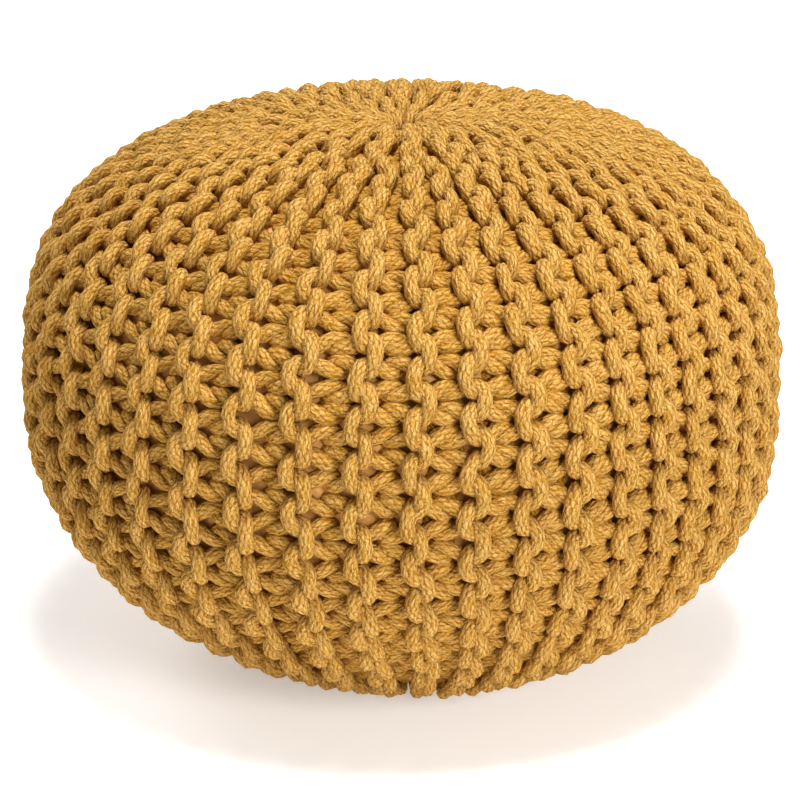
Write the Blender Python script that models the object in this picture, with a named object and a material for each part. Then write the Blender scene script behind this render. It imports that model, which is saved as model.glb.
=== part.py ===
"""Round knitted floor pouf: a filled cover with garter ribs, gathered at its crown and its base.

The cover is knitted sideways, so its ribs run from pole to pole like the lines of a melon. Every second rib
is a short row that stops before the crown and before the base, and the long ribs carry on and are drawn
together. Cover and filling are one solid, which stands on a small flat base.

Run with: blender --background --python part.py
Units are metres, +Z is up, and the origin is the centre of the flat base.
"""

import math

import bmesh
import bpy

# Overall form
DIAMETER = 0.500            # across the rib tops at the widest line
WAIST_HEIGHT = 0.175        # height of the widest line above the floor
CROWN_RISE = 0.191          # rise from the widest line to the crown, before its dimple
BELLY_DROP = 0.188          # drop of the rounded underside below the widest line, had no floor flattened it
CROWN_POWER = 2.93          # superellipse power above the widest line: a broad shoulder
BELLY_POWER = 2.12          # superellipse power below it: nearly an ellipse
DIMPLE_DEPTH = 0.007        # the gathered crown is drawn in by this much
DIMPLE_RADIUS = 0.030       # and over about this distance from the axis

# Ribs
LONG_RIBS = 22              # ribs that reach both poles
ALL_RIBS = 2 * LONG_RIBS    # with the short ribs that lie between them
RIB_DEPTH = 0.0080          # from a rib's top down to the valley beside it
RIB_SLOPE = 0.30            # where the ribs crowd together, their depth is this share of their spacing
RIB_ROUNDNESS = 0.65        # below 1 the rib tops are broad and the valleys narrow
SHORT_RIB_RADII = (0.098, 0.126)   # a short rib fades out between these distances from the axis
FLOOR_FADE = 0.028          # height over which the ribs flatten out towards the floor

# Mesh
SEGMENTS_PER_RIB = 4
ROWS = 25                   # rings of points from the crown to the floor
FINE_STEPS = 400            # points on the fine outline that the rings are picked from
FIRST_RING_RADIUS = 0.012   # the ring nearest the crown's centre

# Finish
MUSTARD = (0.497, 0.251, 0.050, 1.0)
YARN_ROUGHNESS = 0.9


def clear_scene():
    """Remove every object of the open scene."""
    for item in list(bpy.data.objects):
        bpy.data.objects.remove(item, do_unlink=True)


def smooth_step(low, high, value):
    """Return 0 below low, 1 above high, and a smooth rise between them."""
    share = min(max((value - low) / (high - low), 0.0), 1.0)
    return share * share * (3.0 - 2.0 * share)


def crown_point(angle):
    """Return (radius, height) on the outline above the widest line; angle 0 is the pole."""
    radius = DIAMETER / 2 * math.sin(angle) ** (2 / CROWN_POWER)
    dimple = DIMPLE_DEPTH * math.exp(-((radius / DIMPLE_RADIUS) ** 2))
    return radius, WAIST_HEIGHT + CROWN_RISE * math.cos(angle) ** (2 / CROWN_POWER) - dimple


def belly_point(angle):
    """Return (radius, height) on the outline below the widest line; angle 0 is the widest line."""
    radius = DIAMETER / 2 * math.cos(angle) ** (2 / BELLY_POWER)
    return radius, WAIST_HEIGHT - BELLY_DROP * math.sin(angle) ** (2 / BELLY_POWER)


def fine_outline():
    """Return the closely spaced outline from the first ring to the edge of the flat base."""
    quarter = math.pi / 2
    points = [crown_point(quarter * step / FINE_STEPS) for step in range(1, FINE_STEPS)]
    points += [belly_point(quarter * step / FINE_STEPS) for step in range(FINE_STEPS)]
    floor_radius = DIAMETER / 2 * (1 - (WAIST_HEIGHT / BELLY_DROP) ** BELLY_POWER) ** (1 / BELLY_POWER)
    kept = [point for point in points if point[0] >= FIRST_RING_RADIUS and point[1] > 0.0]
    return kept + [(floor_radius, 0.0)]


def even_rows(points, count):
    """Return count points, evenly spaced along a polyline, with its two ends among them."""
    lengths = [0.0]
    for before, after in zip(points, points[1:]):
        lengths.append(lengths[-1] + math.dist(before, after))
    rows = []
    index = 0
    for row in range(count):
        target = lengths[-1] * row / (count - 1)
        while index < len(points) - 2 and lengths[index + 1] < target:
            index += 1
        share = (target - lengths[index]) / (lengths[index + 1] - lengths[index])
        before, after = points[index], points[index + 1]
        rows.append(tuple(a + share * (b - a) for a, b in zip(before, after)))
    return rows


def inward_normals(rows):
    """Return the unit (radius, height) direction into the solid at each row."""
    normals = []
    for index in range(len(rows)):
        before, after = rows[max(index - 1, 0)], rows[min(index + 1, len(rows) - 1)]
        run, rise = after[0] - before[0], after[1] - before[1]
        length = math.hypot(run, rise)
        normals.append((rise / length, -run / length))
    return normals


def rounded_wave(turns, azimuth):
    """Return 1 on each of the given number of rib tops around the axis, and 0 in each valley."""
    return (0.5 + 0.5 * math.cos(turns * azimuth)) ** RIB_ROUNDNESS


def valley_depth(radius, height, azimuth):
    """Return how far the surface lies below the outline through the rib tops."""
    short_ribs = smooth_step(*SHORT_RIB_RADII, radius)
    spacing = math.tau * radius / (LONG_RIBS + (ALL_RIBS - LONG_RIBS) * short_ribs)
    depth = min(RIB_DEPTH, RIB_SLOPE * spacing) * smooth_step(0.0, FLOOR_FADE, height)
    wave = (1 - short_ribs) * rounded_wave(LONG_RIBS, azimuth) + short_ribs * rounded_wave(ALL_RIBS, azimuth)
    return depth * (1 - wave)


def ring_points(row, normal):
    """Return the points of one ring of the cover, with its ribs raised."""
    segments = ALL_RIBS * SEGMENTS_PER_RIB
    points = []
    for step in range(segments):
        azimuth = math.tau * step / segments
        depth = valley_depth(row[0], row[1], azimuth)
        radius = row[0] + depth * normal[0]
        height = row[1] + depth * normal[1]
        points.append((radius * math.sin(azimuth), -radius * math.cos(azimuth), height))
    return points


def yarn_material():
    """Return the matte mustard cotton of the cover."""
    material = bpy.data.materials.new("mustard_cotton")
    material.use_nodes = True
    shader = material.node_tree.nodes["Principled BSDF"]
    shader.inputs["Base Color"].default_value = MUSTARD
    shader.inputs["Roughness"].default_value = YARN_ROUGHNESS
    shader.inputs["Metallic"].default_value = 0.0
    material.diffuse_color = MUSTARD
    return material


def build_cover():
    """Build the filled cover as one closed solid."""
    rows = even_rows(fine_outline(), ROWS)
    mesh = bmesh.new()
    rings = []
    for row, normal in zip(rows, inward_normals(rows)):
        rings.append([mesh.verts.new(point) for point in ring_points(row, normal)])
    pole = mesh.verts.new((0.0, 0.0, crown_point(0.0)[1]))
    count = len(rings[0])
    for step in range(count):
        following = (step + 1) % count
        mesh.faces.new((pole, rings[0][step], rings[0][following]))
        for upper, lower in zip(rings, rings[1:]):
            mesh.faces.new((upper[step], lower[step], lower[following], upper[following]))
    mesh.faces.new(list(reversed(rings[-1])))
    bmesh.ops.recalc_face_normals(mesh, faces=mesh.faces)

    data = bpy.data.meshes.new("knitted_cover")
    mesh.to_mesh(data)
    mesh.free()
    data.materials.append(yarn_material())
    data.shade_smooth()
    data.set_sharp_from_angle(angle=math.radians(60))
    cover = bpy.data.objects.new("knitted_cover", data)
    bpy.context.collection.objects.link(cover)
    return cover


def main():
    """Build the pouf."""
    clear_scene()
    build_cover()


if __name__ == "__main__":
    main()
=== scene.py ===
"""The dressed model of a round knitted floor pouf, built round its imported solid.

A filled cloth bag wears one cover of thick cotton cord. The cover is knitted sideways in garter stitch,
so its rows run from the crown to the underside. A knit row and the purl row after it raise one rib
between them: the heads of the knit loops stand on the rib's right, and the feet of the purl loops on its
left. Every second rib is a pair of short rows. The long ribs are drawn together at both poles.

Units are metres, +Z is up, and the origin is the centre of the flat base.
"""

import logging
import math
from dataclasses import dataclass, field
from enum import Enum
from typing import Any, Iterable, Union

import bmesh
import bpy
import numpy as np
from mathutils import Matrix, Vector


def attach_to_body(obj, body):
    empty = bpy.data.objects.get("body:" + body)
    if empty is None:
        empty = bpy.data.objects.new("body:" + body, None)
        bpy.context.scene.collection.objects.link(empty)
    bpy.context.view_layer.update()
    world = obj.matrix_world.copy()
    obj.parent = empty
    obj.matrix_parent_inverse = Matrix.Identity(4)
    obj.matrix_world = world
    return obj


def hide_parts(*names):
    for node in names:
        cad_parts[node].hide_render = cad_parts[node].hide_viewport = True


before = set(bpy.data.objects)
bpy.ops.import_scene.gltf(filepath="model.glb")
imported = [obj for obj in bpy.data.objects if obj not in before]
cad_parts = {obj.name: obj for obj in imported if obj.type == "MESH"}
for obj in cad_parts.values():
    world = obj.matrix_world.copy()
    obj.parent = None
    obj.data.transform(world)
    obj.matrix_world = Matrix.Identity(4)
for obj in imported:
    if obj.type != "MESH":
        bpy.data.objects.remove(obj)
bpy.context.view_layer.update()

LOG = logging.getLogger("pouf")

COVER_NODE = "knitted_cover"
BODY = "root"
MILLIMETRE = 0.001
LEAST_LENGTH = 1e-9
SOCKET_KINDS = {
    float: "NodeSocketFloat",
    int: "NodeSocketInt",
    bpy.types.Object: "NodeSocketObject",
    bpy.types.Material: "NodeSocketMaterial",
}

Colour = tuple[float, float, float, float]
Number = Union["Term", float, int]
RadiusHeight = tuple[float, float]


# --------------------------------------------------------------------------------------------------
# Writing node trees
# --------------------------------------------------------------------------------------------------


class Term:
    """A number on a socket; Python's operators on it add Math nodes to the socket's tree."""

    def __init__(self, writer: "NodeWriter", socket: bpy.types.NodeSocket) -> None:
        """Wrap one socket.

        Args:
            writer: Where new nodes go.
            socket: An output socket that holds a number.
        """
        self.writer = writer
        self.socket = socket

    def __add__(self, other: Number) -> "Term":
        """Return self + other."""
        return self.writer.math("ADD", self, other)

    def __sub__(self, other: Number) -> "Term":
        """Return self - other."""
        return self.writer.math("SUBTRACT", self, other)

    def __rsub__(self, other: Number) -> "Term":
        """Return other - self."""
        return self.writer.math("SUBTRACT", other, self)

    def __mul__(self, other: Number) -> "Term":
        """Return self * other."""
        return self.writer.math("MULTIPLY", self, other)

    def __truediv__(self, other: Number) -> "Term":
        """Return self / other."""
        return self.writer.math("DIVIDE", self, other)

    def __rtruediv__(self, other: Number) -> "Term":
        """Return other / self."""
        return self.writer.math("DIVIDE", other, self)

    def __mod__(self, other: Number) -> "Term":
        """Return self % other, never below 0."""
        return self.writer.math("FLOORED_MODULO", self, other)

    def __pow__(self, other: Number) -> "Term":
        """Return self ** other."""
        return self.writer.math("POWER", self, other)

    __radd__ = __add__
    __rmul__ = __mul__


class NodeWriter:
    """Adds nodes and links to one tree, of shading or of geometry."""

    def __init__(self, tree: bpy.types.NodeTree) -> None:
        """Start writing to a tree.

        Args:
            tree: The tree that the nodes go into.
        """
        self.tree = tree

    def add(
        self,
        kind: str,
        settings: dict[str, Any] | None = None,
        sockets: dict[str | int, Any] | None = None,
    ) -> bpy.types.Node:
        """Add one node.

        Args:
            kind: The node's Blender type.
            settings: Its properties, which are set first.
            sockets: The value or link of each input, by name or index.

        Returns:
            The new node.
        """
        node = self.tree.nodes.new(kind)
        for name, value in (settings or {}).items():
            setattr(node, name, value)
        for key, value in (sockets or {}).items():
            self.feed(node.inputs[key], value)
        return node

    def feed(self, socket: bpy.types.NodeSocket, value: Any) -> None:
        """Link an input to a term or an output socket, or set its value.

        Args:
            socket: The input.
            value: A Term, an output socket or a plain value.
        """
        if isinstance(value, Term):
            value = value.socket
        if isinstance(value, bpy.types.NodeSocket):
            self.tree.links.new(value, socket)
        else:
            socket.default_value = value

    def math(self, operation: str, *values: Number) -> Term:
        """Add a Math node.

        Args:
            operation: The node's operation.
            values: Its one, two or three inputs.

        Returns:
            The node's result.
        """
        node = self.add("ShaderNodeMath", {"operation": operation}, dict(enumerate(values)))
        return Term(self, node.outputs[0])

    def turn_sine(self, turns: Number) -> Term:
        """Return the sine of a number of whole turns."""
        return self.math("SINE", self.math("MULTIPLY", turns, math.tau))

    def turn_cosine(self, turns: Number) -> Term:
        """Return the cosine of a number of whole turns."""
        return self.math("COSINE", self.math("MULTIPLY", turns, math.tau))

    def split(self, vector: bpy.types.NodeSocket) -> tuple[Term, Term, Term]:
        """Return a vector's three numbers."""
        node = self.add("ShaderNodeSeparateXYZ", None, {0: vector})
        return tuple(Term(self, output) for output in node.outputs)

    def join(self, x: Number, y: Number, z: Number) -> bpy.types.NodeSocket:
        """Return the vector of three numbers."""
        return self.add("ShaderNodeCombineXYZ", None, {0: x, 1: y, 2: z}).outputs[0]

    def smooth_step(self, low: Number, high: Number, value: Number) -> Term:
        """Ease from 0 to 1 between two limits.

        Args:
            low: The value up to which it stays 0.
            high: The value from which it stays 1.
            value: The value that is read.

        Returns:
            The eased number.
        """
        sockets = {"Value": value, "From Min": low, "From Max": high}
        node = self.add("ShaderNodeMapRange", {"interpolation_type": "SMOOTHSTEP"}, sockets)
        return Term(self, node.outputs[0])

    def noise(self, vector: Any, scale: Number, detail: float = 0.0) -> bpy.types.Node:
        """Add a Noise Texture.

        Args:
            vector: Where it is read.
            scale: Its features per unit of that vector.
            detail: Its octaves past the first.

        Returns:
            The node, whose outputs Fac and Color are centred on 0.5.
        """
        return self.add("ShaderNodeTexNoise", None, {"Vector": vector, "Scale": scale, "Detail": detail})

    def mix(self, share: Number, first: Any, second: Any) -> bpy.types.NodeSocket:
        """Blend two colours.

        Args:
            share: How much of the second is used.
            first: A colour or its socket.
            second: A colour or its socket.

        Returns:
            The blended colour's socket.
        """
        sockets = {0: share, 6: first, 7: second}
        return self.add("ShaderNodeMix", {"data_type": "RGBA"}, sockets).outputs[2]


# --------------------------------------------------------------------------------------------------
# Finishes
# --------------------------------------------------------------------------------------------------


def shader_of(name: str) -> tuple[bpy.types.Material, NodeWriter, bpy.types.Node]:
    """Start a material.

    Args:
        name: The material's name.

    Returns:
        The material, a writer for its tree, and its Principled shader.
    """
    material = bpy.data.materials.new(name)
    material.use_nodes = True
    return material, NodeWriter(material.node_tree), material.node_tree.nodes["Principled BSDF"]


@dataclass(frozen=True)
class CottonCord:
    """Matte mustard cotton cord: a round braid of fine strands that cross each other over and under, with
    shade painted between its strands and on cord that lies deep in the knitting.
    """

    lit: Colour = (0.67, 0.432, 0.155, 1.0)
    deep: Colour = (0.43, 0.215, 0.020, 1.0)
    groove_shade: Colour = (0.30, 0.100, 0.001, 1.0)
    recess_shade: Colour = (0.54, 0.250, 0.005, 1.0)
    strands: int = 8
    strand_arch: float = 0.8
    strand_dip: float = 0.35
    octaves: float = 2.0
    fray: float = 0.9
    fray_scale: float = 320.0
    fibres_around: float = 5.5
    fibres_per_pick: float = 4.0
    fibre_tones: tuple[float, float] = (0.32, 0.64)
    fibre_relief: float = 0.6
    dye_scale: float = 30.0
    dye_tones: tuple[float, float] = (0.40, 0.75)
    dye_share: float = 0.25
    recess_shade_band: tuple[float, float] = (0.4, 1.0)
    recess_shade_share: float = 0.7
    groove_shade_band: tuple[float, float] = (0.85, 0.35)
    groove_shade_share: float = 0.8
    relief: float = 1.5 * MILLIMETRE
    roughness: float = 0.9
    specular: float = 0.2
    sheen: float = 0.15
    sheen_roughness: float = 0.6

    def material(self) -> bpy.types.Material:
        """Return the finish as a material, which reads the cord's own map.

        Returns:
            The new material.
        """
        material, nodes, shader = shader_of("cotton_cord")
        body = nodes.add("ShaderNodeTexCoord").outputs["Object"]
        strand, fuzz = self._strands_and_fibres(nodes, body)
        dye = Term(nodes, nodes.noise(body, self.dye_scale, self.octaves).outputs["Fac"])
        inset = Term(nodes, nodes.add("ShaderNodeAttribute", {"attribute_name": "inset"}).outputs["Fac"])
        tone = nodes.mix(nodes.smooth_step(*self.fibre_tones, fuzz), self.deep, self.lit)
        tone = nodes.mix(nodes.smooth_step(*self.dye_tones, dye) * self.dye_share, tone, self.lit)
        # Painted shade: cord that lies deep in the knitting, read from its stored inset, is darkened and
        # saturated towards the recess shade colour
        tone = nodes.mix(nodes.smooth_step(*self.recess_shade_band, inset) * self.recess_shade_share, tone, self.recess_shade)
        # Painted shade: the low ground between the braid's strands is darkened towards the groove shade
        # colour
        tone = nodes.mix(nodes.smooth_step(*self.groove_shade_band, strand) * self.groove_shade_share, tone, self.groove_shade)
        nodes.feed(shader.inputs["Base Color"], tone)
        nodes.feed(shader.inputs["Roughness"], self.roughness)
        nodes.feed(shader.inputs["Sheen Weight"], self.sheen)
        nodes.feed(shader.inputs["Sheen Roughness"], self.sheen_roughness)
        nodes.feed(shader.inputs["Sheen Tint"], self.lit)
        nodes.feed(shader.inputs["Specular IOR Level"], self.specular)
        nodes.feed(shader.inputs["Specular Tint"], self.lit)
        surface = {"Distance": self.relief, "Height": strand + fuzz * self.fibre_relief}
        bump = nodes.add("ShaderNodeBump", None, surface)
        nodes.feed(shader.inputs["Normal"], bump.outputs[0])
        return material

    def _strands_and_fibres(self, nodes: NodeWriter, body: bpy.types.NodeSocket) -> tuple[Term, Term]:
        """Braid the cord: two sets of strands wind round it both ways, each on top of every second crossing.

        Args:
            nodes: The writer of the material's tree.
            body: The piece's own coordinates.

        Returns:
            The height of the strand on top, from 0 to 1, and the noise of its fibres, which run along it.
        """
        place = nodes.add("ShaderNodeUVMap", {"uv_map": CordMaps.SURFACE}).outputs[0]
        picks, around, _ = nodes.split(place)
        fray = nodes.split(nodes.noise(body, self.fray_scale, self.octaves).outputs["Color"])
        columns = around * self.strands + (fray[0] - 0.5) * self.fray
        picks = picks + (fray[1] - 0.5) * self.fray

        rising = (columns + picks) % 1.0
        falling = (columns - picks) % 1.0
        crossing = (columns + picks) - rising + (columns - picks) - falling
        over = nodes.math("GREATER_THAN", crossing % 2.0, 0.5)
        across = (falling + (rising - falling) * over) * 2.0 - 1.0
        along = (rising + (falling - rising) * over) * 2.0 - 1.0
        arch = (1.0 - across * across * self.strand_arch) ** 0.5
        strand = arch * (1.0 - along * along * self.strand_dip)

        turn = around + picks * (over * 2.0 - 1.0) / self.strands
        fibres = nodes.join(
            nodes.turn_cosine(turn) * self.fibres_around,
            nodes.turn_sine(turn) * self.fibres_around,
            picks * self.fibres_per_pick,
        )
        return strand, Term(nodes, nodes.noise(fibres, 1.0, self.octaves).outputs["Fac"])


@dataclass(frozen=True)
class CasingCloth:
    """Plain woven casing in tan."""

    light: Colour = (0.90, 0.55, 0.22, 1.0)
    dark: Colour = (0.78, 0.40, 0.11, 1.0)
    threads_per_metre: float = 1400.0
    slub_scale: float = 220.0
    slub_octaves: float = 3.0
    tones: tuple[float, float] = (0.2, 0.9)
    relief: float = 0.2 * MILLIMETRE
    roughness: float = 0.9

    def material(self) -> bpy.types.Material:
        """Return the finish as a material on object coordinates.

        Returns:
            The new material.
        """
        material, nodes, shader = shader_of("casing_cloth")
        body = nodes.add("ShaderNodeTexCoord").outputs["Object"]
        x, y, z = nodes.split(body)
        warp = nodes.turn_sine((x + y) * self.threads_per_metre)
        weft = nodes.turn_sine(z * self.threads_per_metre)
        weave = warp * weft * 0.5 + 0.5
        slub = Term(nodes, nodes.noise(body, self.slub_scale, self.slub_octaves).outputs["Fac"])
        share = nodes.smooth_step(*self.tones, weave * 0.5 + slub * 0.5)
        nodes.feed(shader.inputs["Base Color"], nodes.mix(share, self.dark, self.light))
        nodes.feed(shader.inputs["Roughness"], self.roughness)
        bump = nodes.add("ShaderNodeBump", None, {"Distance": self.relief, "Height": weave})
        nodes.feed(shader.inputs["Normal"], bump.outputs[0])
        return material


@dataclass(frozen=True)
class PaleFloor:
    """Plain near-white studio floor, with a faint glow that softens the shadow on it."""

    colour: Colour = (0.90, 0.90, 0.90, 1.0)
    roughness: float = 0.75
    glow: float = 0.38

    def material(self) -> bpy.types.Material:
        """Return the finish as a material.

        Returns:
            The new material.
        """
        material, nodes, shader = shader_of("pale_floor")
        nodes.feed(shader.inputs["Base Color"], self.colour)
        nodes.feed(shader.inputs["Roughness"], self.roughness)
        nodes.feed(shader.inputs["Emission Color"], self.colour)
        nodes.feed(shader.inputs["Emission Strength"], self.glow)
        return material


# --------------------------------------------------------------------------------------------------
# The pouf's outline
# --------------------------------------------------------------------------------------------------


@dataclass
class Outline:
    """The turned outline through the rib tops, from inside the crown's gather to inside the base's."""

    radius: float = 0.2513
    waist_height: float = 0.175
    crown_rise: float = 0.1905
    belly_drop: float = 0.188
    crown_power: float = 2.93
    belly_power: float = 2.12
    dimple_depth: float = 0.004
    dimple_radius: float = 0.032
    gather_depth: float = 0.028
    gather_radius: float = 0.008
    inner_radius: float = 0.001
    lean: float = 0.020
    bow: float = 0.18
    steps: int = 220

    def sway(self, height: Number) -> Number:
        """Return how far the filling leans to the right at a height, as a number or a term."""
        rise = height - self.waist_height
        return rise * rise * self.bow - rise * self.lean

    def _gather(self, radius: float) -> float:
        """Return how far the surface is drawn into a pole's gather at a distance from the axis."""
        dimple = self.dimple_depth * math.exp(-((radius / self.dimple_radius) ** 2))
        return dimple + self.gather_depth * math.exp(-((radius / self.gather_radius) ** 2))

    def _crown(self, radius: float) -> float:
        """Return the height above the widest line at a distance from the axis."""
        share = min(radius / self.radius, 1.0)
        return self.waist_height + self.crown_rise * (1 - share**self.crown_power) ** (1 / self.crown_power)

    def _belly(self, radius: float) -> float:
        """Find the outline below its widest line.

        Args:
            radius: A distance from the axis.

        Returns:
            The height there, no lower than the floor.
        """
        share = min(radius / self.radius, 1.0)
        drop = self.belly_drop * (1 - share**self.belly_power) ** (1 / self.belly_power)
        return max(self.waist_height - drop, 0.0)

    def points(self) -> list[RadiusHeight]:
        """Return the outline, crown first.

        Returns:
            Points as distance from the axis and height.
        """
        reach = self.radius - self.inner_radius
        radii = [
            self.inner_radius + reach * math.sin(math.pi / 2 * step / self.steps)
            for step in range(self.steps + 1)
        ]
        crown = [(radius, self._crown(radius) - self._gather(radius)) for radius in radii]
        belly = [(radius, self._belly(radius) + self._gather(radius)) for radius in reversed(radii[:-1])]
        return crown + belly

    def inset(self, depth: float) -> list[RadiusHeight]:
        """Return the outline moved into the pouf, with only a soft tuck at each pole.

        Args:
            depth: How far it is moved.

        Returns:
            Points as distance from the axis and height, from pole to pole.
        """
        turned = []
        for step in range(1, self.steps):
            angle = math.pi * step / self.steps
            radius = self.radius * math.sin(angle) ** (2 / self.crown_power)
            tuck = self.gather_depth * math.exp(-((radius / self.dimple_radius) ** 2))
            crown = self._crown(radius) - tuck
            height = crown if angle < math.pi / 2 else self._belly(radius) + tuck
            turned.append(Vector((radius, height)))
        moved = []
        for before, here, after in zip(turned, turned[1:], turned[2:]):
            along = (after - before).normalized()
            moved.append(here - depth * Vector((-along.y, along.x)))
        return [(point.x, point.y) for point in moved if point.x > depth]

    def curve_object(self) -> bpy.types.Object:
        """Make the outline as a curve in the XZ plane.

        Returns:
            The curve that the knitting follows.
        """
        data = bpy.data.curves.new("outline", "CURVE")
        data.dimensions = "3D"
        points = self.points()
        spline = data.splines.new("POLY")
        spline.points.add(len(points) - 1)
        for point, (radius, height) in zip(spline.points, points):
            point.co = (radius, 0.0, height, 1.0)
        guide = bpy.data.objects.new("outline", data)
        bpy.context.collection.objects.link(guide)
        return guide


# --------------------------------------------------------------------------------------------------
# The knitted cover
# --------------------------------------------------------------------------------------------------


class Row(Enum):
    """The two rows of a rib, by their place on the knitting chart."""

    KNIT = 0.0
    PURL = 1.0


class CordMaps:
    """Writes the cord's own maps on a mesh of tubes."""

    SURFACE = "cord"

    def __init__(self, mesh: bpy.types.Mesh, pick_pitch: float) -> None:
        """Take what the knitting stored on the mesh.

        Args:
            mesh: Tubes of quads with the attributes along, row_length and around.
            pick_pitch: Distance along the cord between two crossings of the same strands.
        """
        self.mesh = mesh
        self.pick_pitch = pick_pitch

    def _stored(self, name: str) -> np.ndarray:
        """Read a stored number.

        Args:
            name: The attribute's name.

        Returns:
            The number at each corner of each face, as rows of four.
        """
        values = np.empty(len(self.mesh.vertices), np.float32)
        self.mesh.attributes[name].data.foreach_get("value", values)
        corners = np.empty(len(self.mesh.loops), np.int32)
        self.mesh.loops.foreach_get("vertex_index", corners)
        return values[corners].reshape(-1, 4)

    @staticmethod
    def _unwrapped(values: np.ndarray, period: np.ndarray | float) -> np.ndarray:
        """Return corner values without the jump where a face closes a ring."""
        low = values < values.max(axis=1, keepdims=True) - np.asarray(period) / 2
        return values + low * period

    def write(self) -> None:
        """Write the map that the finish reads: picks passed along the cord, and share of its girth."""
        length = self._stored("row_length")
        along = self._unwrapped(self._stored("along"), length)
        around = self._unwrapped(self._stored("around"), 1.0)
        picks = np.maximum(np.round(length / self.pick_pitch), 1.0)
        layer = self.mesh.uv_layers.new(name=self.SURFACE)
        pairs = np.stack([along / length * picks, around], axis=-1).astype(np.float32)
        layer.uv.foreach_set("vector", pairs.ravel())
        for name in ("along", "row_length", "around", "girth"):
            self.mesh.attributes.remove(self.mesh.attributes[name])


@dataclass(frozen=True)
class Spot:
    """A place on the outline, and the direction out of it in the outline's own plane."""

    radius: Term
    height: Term
    out: Term
    up: Term


class StitchTree:
    """Writes the Geometry Nodes that turn a knitting chart into cord wrapped on the outline.

    A chart's point holds its rib, its loop and its row. Heads stand at whole numbers of loops, and feet half
    way between them.
    """

    def __init__(self, cover: "KnittedCover", values: dict[str, Any]) -> None:
        """Start the tree, declare its inputs and read the chart.

        Args:
            cover: The cover, for its outline and for the settings that have no input.
            values: The value of each named input, which gives the input its kind.
        """
        self.cover = cover
        self.tree = bpy.data.node_groups.new("garter_stitch", "GeometryNodeTree")
        self._declare("Chart", "INPUT", "NodeSocketGeometry")
        for name, value in values.items():
            kinds = [kind for held, kind in SOCKET_KINDS.items() if isinstance(value, held)]
            self._declare(name, "INPUT", kinds[0])
        self._declare("Geometry", "OUTPUT", "NodeSocketGeometry")

        self.nodes = NodeWriter(self.tree)
        self.given = {socket.name: socket for socket in self.nodes.add("NodeGroupInput").outputs}
        numbers = [name for name, value in values.items() if isinstance(value, (int, float))]
        self.size = {name: Term(self.nodes, self.given[name]) for name in numbers}
        info = self.nodes.add("GeometryNodeObjectInfo", None, {"Object": self.given["Outline"]})
        self.guide = info.outputs["Geometry"]
        chart_place = self.nodes.add("GeometryNodeInputPosition").outputs[0]
        self.rib, self.loop, self.row = self.nodes.split(chart_place)
        self.swing = self.nodes.turn_cosine(self.loop)
        self.side = 1.0 - self.row * 2.0
        self.fore = self.swing * self.side * 0.5 + 0.5
        self.is_long = 1.0 - self.rib % 2.0

    def _declare(self, name: str, way: str, kind: str) -> None:
        """Declare an input or an output of the tree."""
        self.tree.interface.new_socket(name, in_out=way, socket_type=kind)

    def _store(self, geometry: Any, name: str, value: Any) -> bpy.types.NodeSocket:
        """Store a number on each point and return the geometry's socket."""
        sockets = {"Geometry": geometry, "Name": name, "Value": value}
        return self.nodes.add("GeometryNodeStoreNamedAttribute", None, sockets).outputs[0]

    def _sample(self, length: Term) -> Spot:
        """Read the outline.

        Args:
            length: A distance along it from the crown.

        Returns:
            The spot at that distance.
        """
        sockets = {"Curves": self.guide, "Length": length}
        node = self.nodes.add("GeometryNodeSampleCurve", {"mode": "LENGTH"}, sockets)
        radius, _, height = self.nodes.split(node.outputs["Position"])
        run, _, rise = self.nodes.split(node.outputs["Tangent"])
        return Spot(radius, height, rise * -1.0, run)

    def _along(self) -> tuple[Term, Term]:
        """Lay the loops along their row, with each head and each foot pinched together.

        Returns:
            The place in loops, and the distance along the outline.
        """
        nodes, size = self.nodes, self.size
        pinch_before = size["Head Pinch"] + (size["Foot Pinch"] - size["Head Pinch"]) * self.row
        pinch = size["Back Pinch"] + (pinch_before - size["Back Pinch"]) * self.fore
        place = self.loop + pinch * nodes.turn_sine(self.loop * 2.0)
        share = (place + 0.5) / size["Loops"]
        whole = Term(nodes, nodes.add("GeometryNodeCurveLength", None, {0: self.guide}).outputs[0])
        shifted = share - nodes.turn_sine(share * 0.5) * size["Loop Shift"] / size["Loops"]
        return place, shifted * whole

    def _gathered(self, size: Term, radius: Term, reach: float, least: float) -> Term:
        """Return a size that falls to its least share where the poles gather the cord."""
        return size * (self.nodes.smooth_step(0.0, reach, radius) * (1.0 - least) + least)

    def _middle(self, spot: Spot, depth: Term) -> Term:
        """Return the distance from the axis to the middle of the knitting's thickness."""
        return self.nodes.math("MAXIMUM", spot.radius - spot.out * depth, self.cover.core_radius)

    def _pitch(self, place: Term, middle: Term) -> Term:
        """Work out a row's room, which is more for a long row past the ends of its short neighbours.

        Args:
            place: The place in loops.
            middle: The distance from the axis.

        Returns:
            The distance to the next row.
        """
        start = self.size["Dropped Loops"] - self.cover.short_lead
        end = self.size["Loops"] - self.size["Dropped Loops"] - self.cover.short_trail
        begun = self.nodes.smooth_step(start, start + 1.0, place)
        ended = self.nodes.smooth_step(end - 1.0, end, place)
        beside_short = begun * (1.0 - ended)
        return middle * (math.pi / self.size["Ribs"]) * (1.0 + self.is_long * (1.0 - beside_short))

    def _sideways(self, pitch: Term) -> Term:
        """Swing the cord from rib to rib.

        Args:
            pitch: The distance between neighbouring rows.

        Returns:
            The distance from the rib's middle, to the right.
        """
        behind = self.nodes.math("MINIMUM", self.size["Back Reach"], pitch * self.cover.back_crowding)
        before = self.nodes.math("MINIMUM", self.size["Front Reach"], pitch * self.cover.front_crowding)
        reach = behind + (before - behind) * self.fore
        swung = pitch * (self.row - 0.5) + (pitch * 0.5 + reach) * self.swing
        return swung + self.size["Foot Curl"] * (1.0 - self.swing * self.swing)

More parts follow.
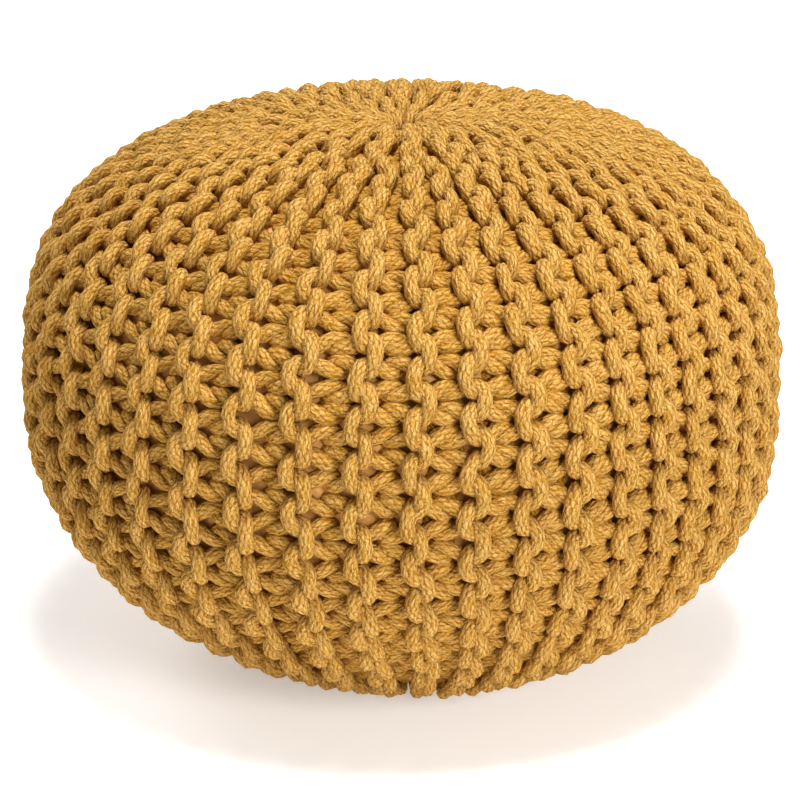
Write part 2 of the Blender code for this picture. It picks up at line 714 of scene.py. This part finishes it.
    def _azimuth(self) -> Term:
        """Spread the ribs round the pouf, a little closer together on some sides.

        Returns:
            The direction of the rib's middle.
        """
        even = self.rib * (math.tau / self.size["Ribs"])
        azimuth = even
        for waves, phase, sway in self.cover.crowding:
            azimuth = azimuth + self.nodes.math("SINE", even * waves + phase) * sway
        return azimuth

    def _hand(self, ball: bpy.types.NodeSocket) -> list[Term]:
        """Add the hand of the knitter: a slow drift of the fabric, and a quicker wobble of each loop.

        Args:
            ball: Where the noise is read.

        Returns:
            How far the cord is moved sideways, along its row and outwards.
        """
        nodes, size, cover = self.nodes, self.size, self.cover
        slow = nodes.split(nodes.noise(ball, cover.drift_scale, cover.hand_octaves).outputs["Color"])
        quick = nodes.split(nodes.noise(ball, cover.wobble_scale, cover.hand_octaves).outputs["Color"])
        return [
            (a - 0.5) * 2.0 * size["Drift"] + (b - 0.5) * 2.0 * size["Wobble"] for a, b in zip(slow, quick)
        ]

    def write(self) -> bpy.types.NodeTree:
        """Write the whole tree.

        Returns:
            The tree, with a named input for each size.
        """
        nodes, size, cover = self.nodes, self.size, self.cover
        place, length = self._along()
        spot = self._sample(length)
        arc_lift = self._gathered(size["Arc Lift"], spot.radius, cover.lift_reach, cover.least_lift)
        cord_radius = self._gathered(size["Cord Radius"], spot.radius, cover.squeeze_reach, cover.least_cord)
        depth = arc_lift + cord_radius
        middle = self._middle(spot, depth)
        sideways = self._sideways(self._pitch(place, middle))
        azimuth = self._azimuth()

        # Out of the rib at the front, into the valley at the back, and every second long rib tucked under
        leg = 1.0 - self.swing * self.swing
        sink = (1.0 - spot.out) * leg * size["Leg Sink"]
        lift = arc_lift * (self.swing * self.swing * self.swing * self.side - sink)
        near_pole = 1.0 - nodes.smooth_step(*cover.tuck_band, spot.radius)
        tuck = self.is_long * (self.rib % 4.0) * 0.5 * near_pole

        ahead = azimuth + sideways / middle
        across, before = nodes.math("SINE", ahead), nodes.math("COSINE", ahead)
        ball = nodes.join(spot.radius * across, spot.radius * before, spot.height + size["Seed"])
        aside, onward, outward = self._hand(ball)
        spot = self._sample(length + onward)
        azimuth = azimuth + (sideways + aside) / self._middle(spot, depth)
        outwards = lift + outward * cover.lift_wobble - depth - tuck * size["Gather Tuck"]
        away = spot.radius + spot.out * outwards
        yarn = Term(nodes, nodes.noise(ball, cover.slub_scale).outputs["Fac"])
        girth = cord_radius * (1.0 + (yarn - 0.5) * size["Slub"])
        above = nodes.math("MAXIMUM", spot.height + spot.up * outwards, girth)
        right = away * nodes.math("SINE", azimuth) + cover.outline.sway(above)
        position = nodes.join(right, away * nodes.math("COSINE", azimuth) * -1.0, above)
        self._cord(position, 0.5 - lift / size["Arc Lift"] * 0.5, girth)
        return self.tree

    def _cord(self, position: bpy.types.NodeSocket, inset: Term, girth: Term) -> None:
        """Move the chart's points to their places and lay dressed cord along its edges.

        Args:
            position: Each point's place.
            inset: How deep it lies in the knitting, from 0 to 1; the cord's finish uses it to darken deep
                cord as painted shade.
            girth: The cord's radius there.
        """
        nodes = self.nodes
        chart = self._store(self.given["Chart"], "inset", inset)
        chart = self._store(chart, "girth", girth)
        placed = nodes.add("GeometryNodeSetPosition", None, {"Geometry": chart, "Position": position})
        cord = nodes.add("GeometryNodeMeshToCurve", None, {"Mesh": placed.outputs[0]}).outputs[0]
        cord = self._store(cord, "along", nodes.add("GeometryNodeSplineParameter").outputs["Length"])
        cord = self._store(cord, "row_length", nodes.add("GeometryNodeSplineLength").outputs["Length"])
        sides = self.size["Cord Sides"]
        ring = nodes.add("GeometryNodeCurvePrimitiveCircle", None, {"Resolution": sides, "Radius": 1.0})
        corner = Term(nodes, nodes.add("GeometryNodeInputIndex").outputs[0])
        ring = self._store(ring.outputs[0], "around", corner / sides)
        stored = nodes.add("GeometryNodeInputNamedAttribute", {"data_type": "FLOAT"}, {"Name": "girth"})
        parts = {"Curve": cord, "Profile Curve": ring, "Scale": stored.outputs[0]}
        tube = nodes.add("GeometryNodeCurveToMesh", None, parts)
        smooth = nodes.add("GeometryNodeSetShadeSmooth", None, {"Geometry": tube.outputs[0]})
        whole = nodes.add("GeometryNodeRealizeInstances", None, {"Geometry": smooth.outputs[0]})
        finish = {"Geometry": whole.outputs[0], "Material": self.given["Cord"]}
        dressed = nodes.add("GeometryNodeSetMaterial", None, finish)
        nodes.add("NodeGroupOutput", None, {0: dressed.outputs[0]})


@dataclass
class KnittedCover:
    """The garter-stitch cover: closed loops of cord, one for each rib, wrapped on the outline."""

    outline: Outline
    finish: CottonCord
    ribs: int = 44
    gores: int = 4
    loops: int = 25
    dropped_loops: int = 4
    steps_per_loop: int = 22
    cord_sides: int = 8
    cord_radius: float = 4.85 * MILLIMETRE
    squeeze_reach: float = 0.030
    least_cord: float = 0.75
    arc_lift: float = 8.0 * MILLIMETRE
    lift_reach: float = 0.025
    least_lift: float = 0.05
    front_reach: float = 5.0 * MILLIMETRE
    front_crowding: float = 0.33
    back_reach: float = 7.0 * MILLIMETRE
    back_crowding: float = 0.50
    core_radius: float = 4.0 * MILLIMETRE
    loop_shift: float = 0.17
    head_pinch: float = 0.175
    foot_pinch: float = 0.205
    back_pinch: float = 0.265
    foot_curl: float = 1.6 * MILLIMETRE
    gather_tuck: float = 6.0 * MILLIMETRE
    tuck_band: tuple[float, float] = (0.012, 0.055)
    leg_sink: float = 0.4
    short_lead: float = 0.9
    short_trail: float = 0.1
    pick_pitch: float = 7.5 * MILLIMETRE
    turn_reach: float = 0.10
    slub: float = 0.42
    slub_scale: float = 55.0
    drift: float = 6.0 * MILLIMETRE
    drift_scale: float = 9.0
    wobble: float = 3.7 * MILLIMETRE
    wobble_scale: float = 42.0
    hand_octaves: float = 1.0
    lift_wobble: float = 0.6
    crowding: tuple[tuple[float, float, float], ...] = (
        (2.0, math.radians(106.0), math.radians(1.97)),
        (4.0, math.radians(51.0), math.radians(0.77)),
    )
    seed: int = 7
    pieces: list[bpy.types.Object] = field(default_factory=list)

    def row_ends(self, rib: int) -> tuple[float, float]:
        """Return the first and last loop positions of a rib's rows; odd ribs are short."""
        dropped = self.dropped_loops * (rib % 2)
        return dropped - 0.5, self.loops - 0.5 - dropped

    def rib_path(self, rib: int) -> list[tuple[float, float, float]]:
        """Lay one rib's cord on the knitting chart.

        Args:
            rib: The rib's number.

        Returns:
            Points as rib, loop and row, which run up the knit row, down the purl row and round both ends.
        """
        first, last = self.row_ends(rib)
        steps = round((last - first) * self.steps_per_loop)
        shares = [step / steps for step in range(steps + 1)]
        turn = [quarter / 4 for quarter in (1, 2, 3)]
        up = [(rib, last - (last - first) * share, Row.KNIT.value) for share in shares]
        crown = [(rib, first - self.turn_reach * math.sin(math.pi * share), share) for share in turn]
        down = [(rib, first + (last - first) * share, Row.PURL.value) for share in shares]
        base = [(rib, last + self.turn_reach * math.sin(math.pi * share), 1 - share) for share in turn]
        return up + crown + down + base

    def chart(self, name: str, ribs: Iterable[int]) -> bpy.types.Object:
        """Make the knitting chart of some ribs.

        Args:
            name: The object's name.
            ribs: The ribs' numbers.

        Returns:
            An object of closed edge loops, one for each rib.
        """
        points: list[tuple[float, float, float]] = []
        edges: list[tuple[int, int]] = []
        for rib in ribs:
            path = self.rib_path(rib)
            start = len(points)
            edges += [(start + step, start + (step + 1) % len(path)) for step in range(len(path))]
            points += path
        mesh = bpy.data.meshes.new(name)
        mesh.from_pydata(points, edges, [])
        made = bpy.data.objects.new(name, mesh)
        bpy.context.collection.objects.link(made)
        return made

    def _inputs(self, guide: bpy.types.Object, material: bpy.types.Material) -> dict[str, Any]:
        """List the knitting tree's inputs.

        Args:
            guide: The outline's curve.
            material: The cord's finish.

        Returns:
            The value of each input by its name.
        """
        return {
            "Outline": guide,
            "Ribs": float(self.ribs),
            "Loops": float(self.loops),
            "Dropped Loops": float(self.dropped_loops),
            "Cord Radius": self.cord_radius,
            "Cord Sides": self.cord_sides,
            "Arc Lift": self.arc_lift,
            "Front Reach": self.front_reach,
            "Back Reach": self.back_reach,
            "Loop Shift": self.loop_shift,
            "Head Pinch": self.head_pinch,
            "Foot Pinch": self.foot_pinch,
            "Back Pinch": self.back_pinch,
            "Foot Curl": self.foot_curl,
            "Gather Tuck": self.gather_tuck,
            "Leg Sink": self.leg_sink,
            "Slub": self.slub,
            "Drift": self.drift,
            "Wobble": self.wobble,
            "Seed": self.seed,
            "Cord": material,
        }

    def build(self) -> list[bpy.types.Object]:
        """Knit the cover in gores of neighbouring ribs.

        Returns:
            The gores.
        """
        guide = self.outline.curve_object()
        values = self._inputs(guide, self.finish.material())
        tree = StitchTree(self, values).write()
        per_gore = self.ribs // self.gores
        for gore in range(self.gores):
            first = gore * per_gore
            chart = self.chart(f"chart_{gore + 1}", range(first, first + per_gore))
            knit = chart.modifiers.new("knit", "NODES")
            knit.node_group = tree
            for item in tree.interface.items_tree:
                if item.item_type == "SOCKET" and item.in_out == "INPUT" and item.name in values:
                    knit[item.identifier] = values[item.name]
            self.pieces.append(self._finished(chart, f"knit_gore_{gore + 1}"))
        bpy.data.objects.remove(guide)
        return self.pieces

    def _finished(self, chart: bpy.types.Object, name: str) -> bpy.types.Object:
        """Turn a chart's knitting into a plain piece and remove the chart.

        Args:
            chart: The chart with its knitting modifier.
            name: The piece's name.

        Returns:
            The piece.
        """
        evaluated = chart.evaluated_get(bpy.context.evaluated_depsgraph_get())
        mesh = bpy.data.meshes.new_from_object(evaluated)
        mesh.name = name
        chart.modifiers.clear()
        bpy.data.objects.remove(chart)
        CordMaps(mesh, self.pick_pitch).write()
        piece = bpy.data.objects.new(name, mesh)
        bpy.context.collection.objects.link(piece)
        return piece


# --------------------------------------------------------------------------------------------------
# The filled casing
# --------------------------------------------------------------------------------------------------


@dataclass
class FilledCasing:
    """The filled bag under the knitting, blown up against it by its filling."""

    outline: Outline
    finish: CasingCloth
    depth: float = 0.0165
    segments: int = 96
    voxel: float = 0.006
    pressure: float = 4.0
    frames: int = 20
    swell_cap: float = 0.003
    inset_points: int = 40

    def _turned(self) -> bpy.types.Object:
        """Turn the bag's starting shape.

        Returns:
            The bag as one closed mesh.
        """
        profile = self.outline.inset(self.depth)
        step = max(1, len(profile) // self.inset_points)
        profile = profile[::step] + [profile[-1]]
        mesh = bmesh.new()
        rings = []
        for radius, height in profile:
            ring = []
            for index in range(self.segments):
                azimuth = math.tau * index / self.segments
                across = radius * math.sin(azimuth) + self.outline.sway(height)
                ring.append(mesh.verts.new((across, -radius * math.cos(azimuth), height)))
            rings.append(ring)
        for upper, lower in zip(rings, rings[1:]):
            for index in range(self.segments):
                after = (index + 1) % self.segments
                mesh.faces.new((upper[index], lower[index], lower[after], upper[after]))
        mesh.faces.new(rings[0])
        mesh.faces.new(list(reversed(rings[-1])))
        bmesh.ops.recalc_face_normals(mesh, faces=mesh.faces)
        data = bpy.data.meshes.new("filled_casing")
        mesh.to_mesh(data)
        mesh.free()
        bag = bpy.data.objects.new("filled_casing", data)
        bpy.context.collection.objects.link(bag)
        return bag

    @staticmethod
    def _places(mesh: bpy.types.Mesh) -> np.ndarray:
        """Read a mesh's points.

        Args:
            mesh: The mesh.

        Returns:
            Its points as rows of three numbers.
        """
        places = np.empty(len(mesh.vertices) * 3, np.float32)
        mesh.vertices.foreach_get("co", places)
        return places.reshape(-1, 3)

    def _freeze(self, bag: bpy.types.Object) -> None:
        """Give the bag its evaluated mesh and drop its modifiers.

        Args:
            bag: The bag.
        """
        evaluated = bag.evaluated_get(bpy.context.evaluated_depsgraph_get())
        mesh = bpy.data.meshes.new_from_object(evaluated)
        bag.modifiers.clear()
        bag.data = mesh

    def _inflate(self, bag: bpy.types.Object) -> None:
        """Blow the bag up with cloth physics, and cap how far each point moves.

        Args:
            bag: The bag.
        """
        before = self._places(bag.data)
        cloth = bag.modifiers.new("cloth", "CLOTH")
        cloth.settings.use_pressure = True
        cloth.settings.uniform_pressure_force = self.pressure
        cloth.settings.effector_weights.gravity = 0.0
        scene = bpy.context.scene
        for moment in range(1, self.frames + 1):
            scene.frame_set(moment)
        self._freeze(bag)
        scene.frame_set(1)
        moved = self._places(bag.data) - before
        LOG.info("casing swell, largest: %.1f mm", np.linalg.norm(moved, axis=1).max() / MILLIMETRE)
        length = np.linalg.norm(moved, axis=1, keepdims=True)
        moved *= np.minimum(1.0, self.swell_cap / np.maximum(length, LEAST_LENGTH))
        places = before + moved
        places[:, 2] = np.maximum(places[:, 2], MILLIMETRE)
        bag.data.vertices.foreach_set("co", places.ravel())

    def build(self) -> bpy.types.Object:
        """Make the bag, inflate it and dress it.

        Returns:
            The finished piece.
        """
        bag = self._turned()
        remesh = bag.modifiers.new("even_faces", "REMESH")
        remesh.mode = "VOXEL"
        remesh.voxel_size = self.voxel
        self._freeze(bag)
        self._inflate(bag)
        bag.data.shade_smooth()
        bag.data.materials.clear()
        bag.data.materials.append(self.finish.material())
        return bag


# --------------------------------------------------------------------------------------------------
# The studio
# --------------------------------------------------------------------------------------------------


@dataclass(frozen=True)
class SoftLamp:
    """A square soft light."""

    name: str
    place: tuple[float, float, float]
    size: float
    power: float

    def hang(self, aim: Vector) -> None:
        """Hang the lamp.

        Args:
            aim: The point that it faces.
        """
        data = bpy.data.lights.new(self.name, "AREA")
        data.size = self.size
        data.energy = self.power
        lamp = bpy.data.objects.new(self.name, data)
        lamp.location = self.place
        lamp.rotation_euler = (aim - Vector(self.place)).to_track_quat("-Z", "Y").to_euler()
        bpy.context.collection.objects.link(lamp)


@dataclass
class Studio:
    """Pale floor, soft lights and a long-lens camera a little above the pouf."""

    aim: Vector = field(default_factory=lambda: Vector((-0.001, 0.0, 0.1673)))
    distance: float = 2.0
    elevation: float = math.radians(19.5)
    lens: float = 135.0
    clip_end: float = 100.0
    floor_size: float = 24.0
    floor_drop: float = 0.3 * MILLIMETRE
    sky: Colour = (1.0, 1.0, 1.0, 1.0)
    sky_strength: float = 0.18
    lamps: tuple[SoftLamp, ...] = (
        SoftLamp("top_light", (0.17, -0.47, 3.02), 0.9, 81.0),
        SoftLamp("side_light", (1.56, -2.23, 1.16), 0.9, 46.0),
        SoftLamp("back_light", (-1.50, 2.15, 1.20), 1.2, 30.0),
    )

    def _camera(self) -> None:
        """Place the camera."""
        data = bpy.data.cameras.new("camera")
        data.lens = self.lens
        data.clip_end = self.clip_end
        camera = bpy.data.objects.new("camera", data)
        back = Vector((0.0, -math.cos(self.elevation), math.sin(self.elevation)))
        camera.location = self.aim + self.distance * back
        camera.rotation_euler = (math.pi / 2 - self.elevation, 0.0, 0.0)
        bpy.context.collection.objects.link(camera)
        bpy.context.scene.camera = camera

    def _floor(self) -> None:
        """Lay the floor."""
        half = self.floor_size / 2
        mesh = bpy.data.meshes.new("floor")
        corners = [(-half, -half), (half, -half), (half, half), (-half, half)]
        mesh.from_pydata([(x, y, -self.floor_drop) for x, y in corners], [], [(0, 1, 2, 3)])
        mesh.materials.append(PaleFloor().material())
        floor = bpy.data.objects.new("floor", mesh)
        bpy.context.collection.objects.link(floor)

    def build(self) -> None:
        """Set the studio up."""
        self._camera()
        self._floor()
        for lamp in self.lamps:
            lamp.hang(self.aim)
        world = bpy.data.worlds.new("studio")
        world.use_nodes = True
        background = world.node_tree.nodes["Background"]
        background.inputs["Color"].default_value = self.sky
        background.inputs["Strength"].default_value = self.sky_strength
        bpy.context.scene.world = world
        view = bpy.context.scene.view_settings
        view.view_transform = "Standard"
        view.look = "Medium High Contrast"


# --------------------------------------------------------------------------------------------------
# The whole pouf
# --------------------------------------------------------------------------------------------------


def attach(piece: bpy.types.Object) -> None:
    """Make a piece stand for the plain cover and move with the pouf.

    Args:
        piece: A finished piece.
    """
    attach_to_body(piece, BODY)
    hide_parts(COVER_NODE)
    triangles = sum(len(face.vertices) - 2 for face in piece.data.polygons)
    LOG.info("%s: %d triangles", piece.name, triangles)


def main() -> None:
    """Build the studio, the casing and the knitted cover."""
    logging.basicConfig(level=logging.INFO, format="%(name)s: %(message)s")
    Studio().build()
    outline = Outline()
    casing = FilledCasing(outline, CasingCloth()).build()
    attach(casing)
    for gore in KnittedCover(outline, CottonCord()).build():
        attach(gore)


if __name__ == "__main__":
    main()
